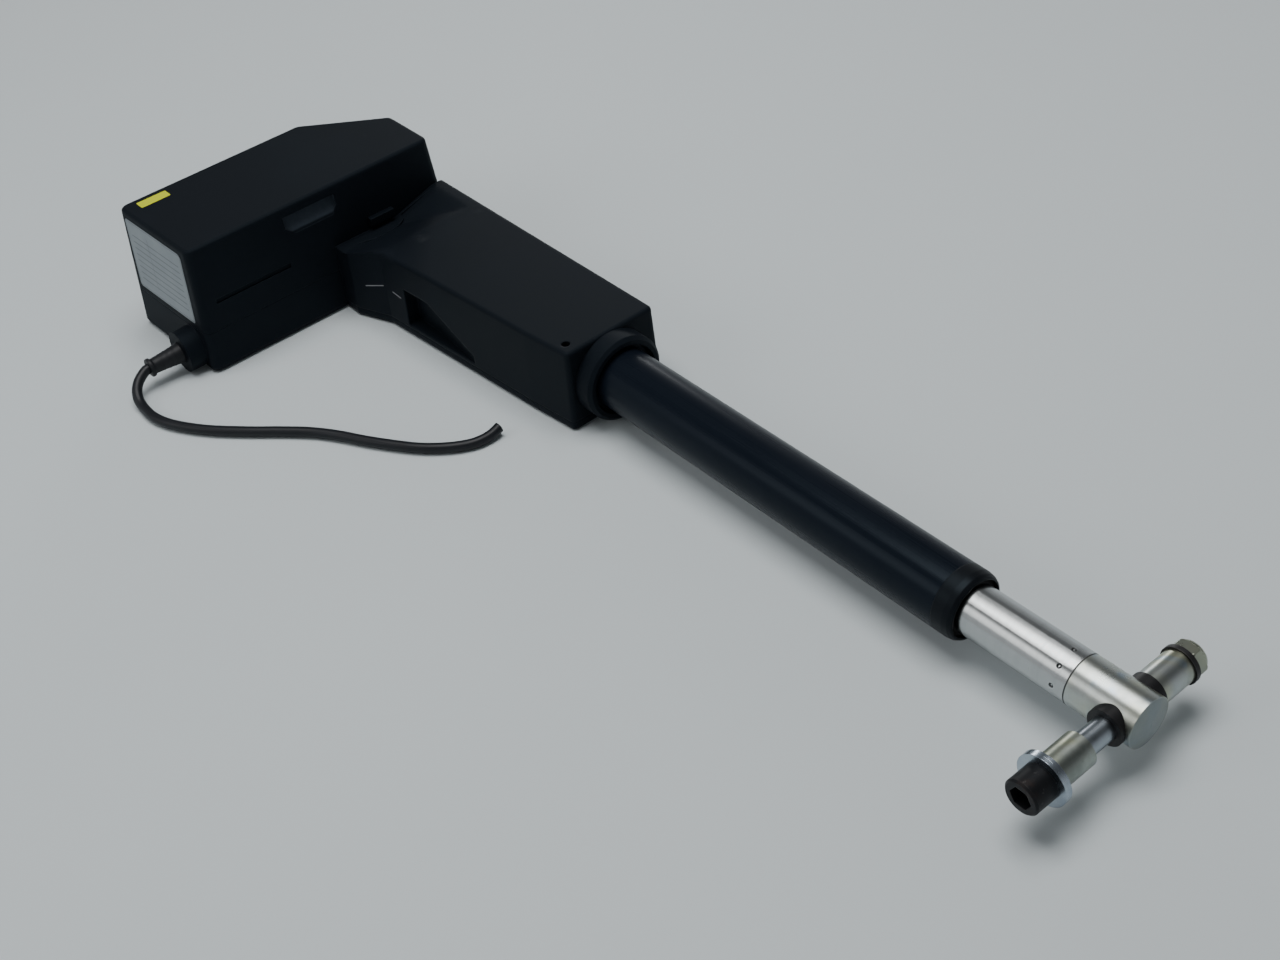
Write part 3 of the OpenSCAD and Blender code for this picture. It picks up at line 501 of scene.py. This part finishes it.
casePaint = ((0.0038, 0.0053, 0.0080), (0.0064, 0.0092, 0.0140), 0.56, 0.0007, 0.00006)
finishes = {
    "case_plastic": mouldedPlastic("caseBlackPlastic", *casePaint),
    "tube_black": coatedTube("tubeBlackCoat", (0.0024, 0.0042, 0.0080)),
    "cap_plastic": mouldedPlastic(
        "capBlackPlastic", (0.004, 0.0045, 0.006), (0.008, 0.009, 0.0115), 0.36, 0.0009, 0.00003
    ),
    "seal_rubber": softMoulding(
        "sealRubber", (0.007, 0.007, 0.007), 0.62, (0.016, 0.016, 0.016), 0.0006
    ),
    "rod_steel": brushedRod("rodStainless", (0.50, 0.52, 0.52), (0.27, 0.29, 0.30), crimps),
    "zinc": platedSteel("zincPlate", (0.40, 0.43, 0.43), (0.42, 0.43, 0.29), (0.20, 0.22, 0.22), 0.3),
    "black_oxide": blackedSteel("blackOxide", (0.022, 0.021, 0.022), (0.07, 0.035, 0.02)),
    "bush_plastic": softMoulding(
        "bushPlastic", (0.0065, 0.0065, 0.0075), 0.42, (0.013, 0.013, 0.014), 0.0005,
        Specular_IOR_Level=0.3,
    ),
    "bare_steel": plainMetal(
        "groundSteel", (0.58, 0.58, 0.57), (0.36, 0.36, 0.36), 0.3, (1, 0.05, 0.05)
    ),
    "gear_alloy": plainMetal("castAlloy", (0.58, 0.59, 0.60), (0.38, 0.39, 0.41), 0.5),
    "gear_plastic": softMoulding("naturalNylon", (0.68, 0.66, 0.56), 0.45, (0.58, 0.55, 0.44), 0.001),
    "bronze": plainMetal("sinteredBronze", (0.56, 0.43, 0.24), (0.34, 0.25, 0.14), 0.45),
    "motor_steel": plainMetal(
        "motorCanPlate", (0.44, 0.45, 0.46), (0.28, 0.29, 0.31), 0.38, (1, 0.06, 1), 500
    ),
    "ferrite": softMoulding("ferriteMagnet", (0.045, 0.045, 0.048), 0.6, (0.09, 0.09, 0.095), 0.0008),
    "dark_plastic": softMoulding("phenolic", (0.03, 0.022, 0.016), 0.48, (0.055, 0.04, 0.03), 0.0008),
    "winding": plainMetal(
        "enamelledWinding", (0.48, 0.22, 0.09), (0.22, 0.10, 0.05), 0.34, (1, 0.08, 1), 900
    ),
    "copper": plainMetal("turnedCopper", (0.78, 0.42, 0.27), (0.44, 0.22, 0.13), 0.3, (0.05, 1, 0.05)),
    "board_green": softMoulding("boardGreen", (0.012, 0.10, 0.035), 0.3, (0.02, 0.14, 0.05), 0.0012),
    "cord_rubber": softMoulding(
        "cordSheath", (0.0085, 0.0098, 0.013), 0.42, (0.015, 0.017, 0.022), 0.0009,
        Specular_IOR_Level=0.3,
    ),
}
boltAxis = (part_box("cross_bolt")[0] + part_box("cross_bolt")[1]) / 2
armKnocks = [
    (at(23.2, -47.4, 24.3), at(35.8, -42.5, 27.6), 0.0005),
    (at(44.4, -41.3, 26.3), at(51.8, -40.8, 25.2), 0.0006),
    (at(46.0, -41.1, 24.8), at(50.0, -40.9, 24.2), 0.0003),
]
ownFinishes = {
    "cross_bolt": boltFinish(
        "boltBlackAndPlated", (boltAxis.x, boltAxis.z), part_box("near_washers")[0].y,
        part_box("hex_nut")[1].y - 0.001,
    ),
    "rod_head": headFinish(
        "headZincPlate", (0.46, 0.49, 0.48), (0.49, 0.50, 0.38), (0.25, 0.27, 0.27), 0.27,
        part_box("rod_head")[1].x - 0.0018,
    ),
    "near_sleeve": platedSteel(
        "sleeveZincPlate", (0.33, 0.36, 0.33), (0.38, 0.39, 0.22), (0.15, 0.17, 0.16), 0.32
    ),
    "near_washers": platedSteel(
        "washerZincPlate", (0.44, 0.50, 0.56), (0.38, 0.44, 0.52), (0.22, 0.25, 0.29), 0.22
    ),
    "upper_case": recessedPlastic("caseUpperPlastic", *casePaint),
    "arm_top_shell": markedPlastic("armBlackPlastic", *casePaint, 0.0016, armKnocks),
    "arm_bottom_shell": markedPlastic("armLowerPlastic", *casePaint, 0.0016, armKnocks[:1]),
}
slotOf = {part["node"]: part["material_slot"] for part in frame["record"]["subparts"]}
for nodeName, node in cadNodes.items():
    node.data.materials.clear()
    node.data.materials.append(ownFinishes.get(nodeName, finishes[slotOf[nodeName]]))
print("finishes on the frame:", len(finishes))


# a pale floor, soft lamps and a sky that darkens upwards
studio = {
    "floorColour": (0.60, 0.66, 0.68), "floorMottle": (0.64, 0.69, 0.705), "floorSize": 40.0,
    "worldLevel": 1.0, "sky": [(0.0, 0.62), (0.6, 0.10)], "skyColour": (0.94, 0.97, 1.0),
    "lamps": [
        ("softKey", (-0.15, 0.05, 1.9), (0.0, 0, 0), (1.5, 1.0), 30),
        ("softFill", (-0.6, -1.5, 1.1), (0.0, 0, 0), (1.2, 0.8), 6),
        ("softRim", (-1.5, 1.3, 0.5), (0.0, 0, 0), (0.5, 0.4), 4),
    ],
}


def makeFloor(s):
    bm = bmesh.new()
    bmesh.ops.create_grid(bm, x_segments=1, y_segments=1, size=s["floorSize"] / 2)
    mesh = bpy.data.meshes.new("studioFloor")
    bm.to_mesh(mesh)
    bm.free()
    floor = bpy.data.objects.new("studioFloor", mesh)
    bpy.context.scene.collection.objects.link(floor)
    finish = Finish("floorPaper", s["floorColour"], 0.75)
    mottle = finish.noise(3, 4, 0.6)
    finish.set("Base Color", finish.blend(s["floorColour"], s["floorMottle"], mottle))
    finish.normal(finish.bump(finish.noise(600, 3, 0.6), 0.0001, 0.3))
    mesh.materials.append(finish.material)


def makeLamp(name, place, aim, size, power):
    data = bpy.data.lights.new(name, "AREA")
    data.shape = "RECTANGLE"
    data.size, data.size_y = size
    data.energy = power
    lamp = bpy.data.objects.new(name, data)
    look = (Vector(aim) - Vector(place)).to_track_quat("-Z", "Y")
    lamp.matrix_world = Matrix.Translation(place) @ look.to_matrix().to_4x4()
    bpy.context.scene.collection.objects.link(lamp)


def makeLight(s):
    world = bpy.data.worlds.new("studioWorld")
    world.use_nodes = True
    sky = Tree(world.node_tree)
    height = sky.parts(sky.add("ShaderNodeTexCoord", out="Generated"))[2]
    stops = [(place, [part * level for part in s["skyColour"]]) for place, level in s["sky"]]
    shade = sky.add("ShaderNodeValToRGB", {"stops": stops}, {0: height})
    background = sky.tree.nodes["Background"]
    sky.feed(background.inputs["Color"], shade)
    sky.feed(background.inputs["Strength"], s["worldLevel"])
    bpy.context.scene.world = world
    for lamp in s["lamps"]:
        makeLamp(*lamp)


makeFloor(studio)
makeLight(studio)
print("floor and light set")


# the supply cord, on the route of the CAD cord
cordSizes = {"diameter": 0.0062, "exit": (-18, -177.4, 13.3), "length": 0.2600, "straight": 0.002}
cordRoute = [
    (-16.6, -183.2, 11.8), (-13.3, -188.5, 9.2), (-8, -192.1, 5.8),
    (0, -193.3, 3.2), (15, -193.1, 3.2), (30, -188, 3.2), (48, -177, 3.2), (66, -162, 3.2),
    (82, -147, 3.2), (96, -135, 3.2), (110, -126, 3.2), (125, -118, 3.2),
    (140, -109, 3.2), (153, -100, 3.2), (164, -89, 3.2), (171, -78, 3.2),
    (173, -68, 3.6), (172, -60, 4.7),
]


def roundCurve(name, radius, roundness, steps):
    curve = bpy.data.curves.new(name, "CURVE")
    curve.dimensions = "3D"
    curve.bevel_depth = radius
    curve.bevel_resolution = roundness
    curve.resolution_u = steps
    curve.use_fill_caps = True
    return curve


def layCurve(curve, slotName):
    # a curve becomes an object once its line is in it, or its box would stay that of an empty one
    curve.materials.append(finishes[slotName])
    piece = bpy.data.objects.new(curve.name, curve)
    bpy.context.scene.collection.objects.link(piece)
    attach(piece, "root")
    return piece


def makeCord(c, route):
    points = [at(*c["exit"])] + [at(*p) for p in route]
    curve = roundCurve("supplyCord", c["diameter"] / 2, 5, 8)
    line = curve.splines.new("BEZIER")
    line.bezier_points.add(len(points) - 1)
    for i, (knot, point) in enumerate(zip(line.bezier_points, points)):
        before, after = points[max(i - 1, 0)], points[min(i + 1, len(points) - 1)]
        knot.co = point
        knot.handle_left = point - (after - before) / 6
        knot.handle_right = point + (after - before) / 6
    line.bezier_points[0].handle_right = points[0] + Vector((0, -c["straight"], 0))
    cord = layCurve(curve, "cord_rubber")
    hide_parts("cord")
    return cord, points


def lineLength(line):
    return sum((b - a).length for a, b in zip(line, line[1:]))


supplyCord, cordLine = makeCord(cordSizes, cordRoute)
print("cord laid:", round(lineLength(cordLine), 4), "m")

# the cut end of the cord
cordEnd = {
    "core": 1.05, "strand": 0.62, "stickOut": 0.25, "strandOut": 0.37, "sunk": 0.1, "spread": 1.45,
    "taper": 0.93, "round": 0.08, "sharp": 0.8,
}


def makeCordEnd(c, line):
    # two insulated cores show their copper in the cut face
    tip = Vector(line[-1]) * 1000
    ahead = (line[-1] - line[-2]).normalized()
    turn = ahead.to_track_quat("Z", "Y").to_matrix().to_4x4()
    for name, radius, depth, slotName, finish in (
        ("cordCores", c["core"], c["stickOut"], "board_green", coreFinish),
        ("cordStrands", c["strand"], c["strandOut"], "copper", finishes["copper"]),
    ):
        bm = bmesh.new()
        for side in (-1, 1):
            place = Matrix.Translation((side * c["spread"], 0, depth / 2 - c["sunk"]))
            made = bmesh.ops.create_cone(
                bm, cap_ends=True, segments=24, radius1=radius, radius2=radius * c["taper"],
                depth=depth + 2 * c["sunk"], matrix=place,
            )
            rims = {e for v in made["verts"] for e in v.link_edges if len(e.link_faces) == 2}
            rims = [e for e in rims if e.calc_face_angle(0) > c["sharp"]]
            bmesh.ops.bevel(
                bm, geom=rims, offset=c["round"], segments=2, profile=0.5, affect="EDGES", material=-1
            )
        settle(bm, Matrix.Translation(tip) @ turn)
        keep(bm, name, "root", finish)


coreFinish = softMoulding("coreInsulation", (0.30, 0.11, 0.045), 0.4, (0.22, 0.08, 0.04), 0.0005)
makeCordEnd(cordEnd, cordLine)
print("cord end made")


# the boot that the cord leaves the case through: x and z of its line, then radius and y
boot = {
    "centre": (-18, 13.3),
    "profile": [
        (0, -177.4), (5.1, -177.4), (5.55, -177.2), (5.8, -176.7), (5.8, -175.7), (5.6, -175.2),
        (5.0, -174.9), (4.78, -174.4), (4.8, -173.2), (5.05, -169.5), (5.2, -169.2), (5.2, -168.8),
        (5.1, -168.4), (5.35, -165.9), (5.5, -165.6), (5.5, -165.2), (5.4, -164.8), (5.65, -162.3),
        (5.8, -162.0), (5.8, -161.6), (5.7, -161.2), (6.1, -158.2), (6.55, -156.6), (6.6, -155.93),
        (0, -155.93),
    ],
    "steps": 48,
}


def makeBoot(b):
    bm = bmesh.new()
    x, z = b["centre"]
    ring = [bm.verts.new(at(x + radius, y, z)) for radius, y in b["profile"]]
    edges = [bm.edges.new(pair) for pair in zip(ring, ring[1:])]
    bmesh.ops.spin(
        bm, geom=ring + edges, cent=at(x, 0, z), axis=(0, 1, 0), angle=2 * math.pi,
        steps=b["steps"], use_merge=True,
    )
    piece = keep(bm, "cordBoot", "root", bootFinish)
    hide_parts("strain_relief")


bootFinish = softMoulding(
    "bootRubber", (0.008, 0.009, 0.0115), 0.5, (0.014, 0.016, 0.020), 0.0007, Specular_IOR_Level=0.3
)
makeBoot(boot)


# the label on the case's near end and the sticker on its top
label = {
    "left": -75.0, "right": -10.6, "low": 31.2, "high": 77.6, "corner": 2.2, "cut": 3.6,
    "thick": 0.12, "lift": 0.03, "border": 1.1, "rulePitch": 4.2, "ruleShift": 1.2, "upright": -8.5,
    "film": (0.27, 0.30, 0.32),
}
caseEnd = {"front": frontFace, "near": -145.9, "depth": 86, "skew": 3.5, "lean": math.radians(4.2)}


def endPlane(e):
    # the case's near end: its corner at the floor, and the ways along it, up it and out of it
    across = Vector((e["depth"], e["skew"], 0)).normalized()
    inward = Vector((-across.y, across.x, 0))
    up = inward * math.sin(e["lean"]) + Vector((0, 0, math.cos(e["lean"])))
    return Vector((e["front"], e["near"], 0)), across, up, across.cross(up)


def roundedSheet(bm, width, height, corner, cutCorner, thick):
    # a sheet on its back with round corners, the upper right one cut larger
    bmesh.ops.create_grid(bm, x_segments=1, y_segments=1, size=0.5)
    bmesh.ops.scale(bm, vec=(width, height, 1), verts=bm.verts)
    bm.verts.ensure_lookup_table()
    special = max(bm.verts, key=lambda v: v.co.x + v.co.y)
    others = [v for v in bm.verts if v != special]
    bmesh.ops.bevel(
        bm, geom=[special], offset=cutCorner, segments=6, profile=0.5, affect="VERTICES", material=-1
    )
    bmesh.ops.bevel(
        bm, geom=others, offset=corner, segments=6, profile=0.5, affect="VERTICES", material=-1
    )
    made = bmesh.ops.extrude_face_region(bm, geom=bm.faces[:])
    lifted = [v for v in made["geom"] if isinstance(v, bmesh.types.BMVert)]
    bmesh.ops.translate(bm, vec=(0, 0, thick), verts=lifted)


def makeLabel(w):
    corner, across, up, out = endPlane(caseEnd)
    bm = bmesh.new()
    roundedSheet(bm, w["right"] - w["left"], w["high"] - w["low"], w["corner"], w["cut"], w["thick"])
    middle = corner + across * ((w["left"] + w["right"]) / 2 - caseEnd["front"])
    middle += up * ((w["low"] + w["high"]) / 2) + out * w["lift"]
    lieOn(bm, middle, across, up, out)
    finish = labelFinish(w, middle + rootPlace, across, up)
    keep(bm, "endLabel", "root", finish, False)


def labelFinish(w, middle, across, up):
    # blank silver film with a fine printed border, a little rubbed and creased
    finish = Finish("labelFilm", w["film"], 0.42, 0.35)
    coords = finish.coords()
    offset = finish.vector("SUBTRACT", coords, tuple(middle / 1000), "Vector")
    along = finish.vector("DOT_PRODUCT", offset, tuple(across))
    above = finish.vector("DOT_PRODUCT", offset, tuple(up))
    x, y = along.math("ABSOLUTE"), above.math("ABSOLUTE")
    halfWide = (w["right"] - w["left"]) / 2000 - w["border"] / 1000
    halfHigh = (w["high"] - w["low"]) / 2000 - w["border"] / 1000
    outside = (x - halfWide).math("MAXIMUM", y - halfHigh)
    band = outside.within(-0.0002, 0.0004, 0.0002, 0.0002)
    # a form that nothing is filled into: rules across, and one upright rule
    row = (above + w["ruleShift"] / 1000) * (1000 / w["rulePitch"])
    rule = (row.math("FRACT") - 0.5).math("ABSOLUTE")
    ruled = (1 - rule.above(0.05, 0.11)) * (1 - x.above(halfWide - 0.0042, halfWide - 0.0038))
    ruled = ruled * (1 - y.above(halfHigh - 0.0052, halfHigh - 0.0048))
    upright = 1 - (along - w["upright"] / 1000).math("ABSOLUTE").above(0.00012, 0.00024)
    upright = upright * (1 - y.above(halfHigh - 0.005, halfHigh - 0.0046))
    ruled = ruled.math("MAXIMUM", upright)
    clouds = finish.noise(70, 4, 0.6)
    rubs = finish.noise(260, 5, 0.75, (0.3, 1, 1)).above(0.6, 0.75)
    tone = finish.blend(w["film"], (0.21, 0.24, 0.26), clouds)
    tone = finish.blend(tone, (0.20, 0.22, 0.23), rubs * 0.35)
    tone = finish.blend(tone, (0.07, 0.08, 0.09), ruled * 0.7)
    finish.set("Base Color", finish.blend(tone, (0.10, 0.11, 0.12), band * 0.8))
    finish.set("Roughness", 0.36 + clouds * 0.14 + rubs * 0.12)
    creases = finish.noise(45, 3, 0.5, twist=1.2)
    finish.normal(finish.bump(creases, 0.0003, 0.35))
    return finish.material


sticker = {
    "x": (-76.2, -68.6), "y": (-133.6, -114.2), "top": 82, "thick": 0.1, "corner": 0.8, "sunk": 0.06,
    "yellow": (0.64, 0.68, 0.008),
}


def makeSticker(w):
    bm = bmesh.new()
    roundedSheet(
        bm, w["x"][1] - w["x"][0], w["y"][1] - w["y"][0], w["corner"], w["corner"], w["thick"]
    )
    middle = Vector((sum(w["x"]) / 2, sum(w["y"]) / 2, w["top"] - w["sunk"]))
    settle(bm, Matrix.Translation(middle + rootPlace))
    finish = Finish("stickerYellow", w["yellow"], 0.4, Specular_IOR_Level=0.3)
    clouds = finish.noise(160, 4, 0.65)
    specks = finish.noise(700, 3, 0.7).above(0.6, 0.75)
    tone = finish.blend(w["yellow"], (0.56, 0.60, 0.012), clouds)
    finish.set("Base Color", finish.blend(tone, (0.30, 0.34, 0.03), specks * 0.3))
    finish.set("Roughness", 0.34 + clouds * 0.2)
    finish.normal(finish.bump(clouds, 0.00015, 0.4))
    keep(bm, "topSticker", "root", finish.material, False)


makeLabel(label)
makeSticker(sticker)
print("label and sticker made")


# the blade of the latch, lying back in its slot
blade = {"long": 50.2, "high": 2.3, "corner": 0.5, "thick": 1.0, "sunk": 0.9, "y": -106, "z": 45}


def makeBlade(b):
    across, up = Vector((0, 1, 0)), Vector((-math.sin(frontLean), 0, math.cos(frontLean)))
    out = across.cross(up)
    bm = bmesh.new()
    roundedSheet(bm, b["long"], b["high"], b["corner"], b["corner"], b["thick"])
    middle = Vector((frontFace - b["z"] * math.tan(frontLean), b["y"], b["z"]))
    middle -= out * (b["sunk"] + b["thick"])
    lieOn(bm, middle, across, up, out)
    keep(bm, "latchBlade", "root", finishes["case_plastic"], False)


makeBlade(blade)
print("latch blade made")


# the lock nut: a hexagon, a crown above it and a nylon ring, as radius and distance
nut = {
    "hexWidth": 17, "hexHeight": 5.4, "corner": 1.1, "land": 1.2, "round": 0.2,
    "crown": [
        (6.25, 4.6), (8.15, 4.6), (8.15, 5.9), (8.0, 6.9), (7.55, 7.6), (6.95, 7.98),
        (6.75, 7.9), (6.75, 6.6), (6.25, 6.6),
    ],
    "insert": [(6.08, 5.2), (6.7, 5.2), (6.7, 7.35), (6.5, 7.55), (6.2, 7.5), (6.08, 7.3)],
}


def spunAlongY(name, profile, centre, finish, body, steps=64):
    # a closed profile of radius and distance, spun about a line along Y
    bm = bmesh.new()
    ring = [bm.verts.new(centre + Vector((radius, y, 0)) / 1000) for radius, y in profile]
    edges = [bm.edges.new(pair) for pair in zip(ring, ring[1:] + ring[:1])]
    bmesh.ops.spin(
        bm, geom=ring + edges, cent=centre, axis=(0, 1, 0), angle=2 * math.pi,
        steps=steps, use_merge=True,
    )
    return keep(bm, name, body, finish)


def makeNut(n):
    low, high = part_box("hex_nut")
    start = Vector(((low.x + high.x) / 2, low.y, (low.z + high.z) / 2))
    bm = bmesh.new()
    lie = Matrix.Rotation(math.radians(-90), 4, "X") @ Matrix.Rotation(math.radians(30), 4, "Z")
    bmesh.ops.create_cone(
        bm, cap_ends=True, segments=6, radius1=n["hexWidth"] / math.sqrt(3),
        radius2=n["hexWidth"] / math.sqrt(3), depth=n["hexHeight"],
    )
    bmesh.ops.bevel(
        bm, geom=bm.verts[:], offset=n["corner"], segments=1, profile=0.5, affect="VERTICES",
        material=-1,
    )
    caps = [f for f in bm.faces if abs(f.normal.z) > 0.9]
    bmesh.ops.inset_individual(bm, faces=caps, thickness=n["land"], use_even_offset=True)
    bmesh.ops.delete(bm, geom=caps, context="FACES")
    bmesh.ops.bridge_loops(bm, edges=[e for e in bm.edges if e.is_boundary])
    settle(bm, Matrix.Translation(start * 1000 + Vector((0, n["hexHeight"] / 2, 0))) @ lie)
    plate = platedSteel(
        "nutZincPlate", (0.34, 0.38, 0.40), (0.36, 0.38, 0.29), (0.16, 0.18, 0.19), 0.27
    )
    hexBody = keep(bm, "lockNutHex", "cross_bolt", plate, False)
    soften = hexBody.modifiers.new("softEdges", "BEVEL")
    soften.width = n["round"] / 1000
    soften.segments = 2
    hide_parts("hex_nut")
    spunAlongY("lockNutCrown", n["crown"], start, plate, "cross_bolt")
    nylon = softMoulding("nutNylon", (0.72, 0.72, 0.68), 0.4, (0.6, 0.6, 0.55), 0.0005)
    spunAlongY("lockNutInsert", n["insert"], start, nylon, "cross_bolt")


makeNut(nut)
print("nut made")


# the thin welts where the arm meets the case
welts = {
    "thick": 0.45,
    "lines": {
        "rootWelt": [
            (1.2, 27.5, 50.4), (1.3, 23, 51.2), (1.3, 18, 50.1), (1.4, 12, 48.6), (1.5, 6, 46.9),
            (1.6, -2.5, 44.7),
        ],
        "pocketWelt": [
            (6.5, -4.4, 44.2), (9.2, -8.2, 43.4), (10.6, -14, 43.3), (11.4, -20.5, 43.5),
            (12.2, -27.5, 43.7), (9.0, -33.5, 43.1), (7.5, -38.5, 43.0),
        ],
    },
}


def makeWelts(w):
    for name, line in w["lines"].items():
        curve = roundCurve(name, w["thick"] / 1000, 2, 6)
        run = curve.splines.new("NURBS")
        run.points.add(len(line) - 1)
        for knot, place in zip(run.points, line):
            knot.co = (*at(*place), 1)
        run.order_u = 3
        run.use_endpoint_u = True
        layCurve(curve, "case_plastic")


makeWelts(welts)
print("welts made")
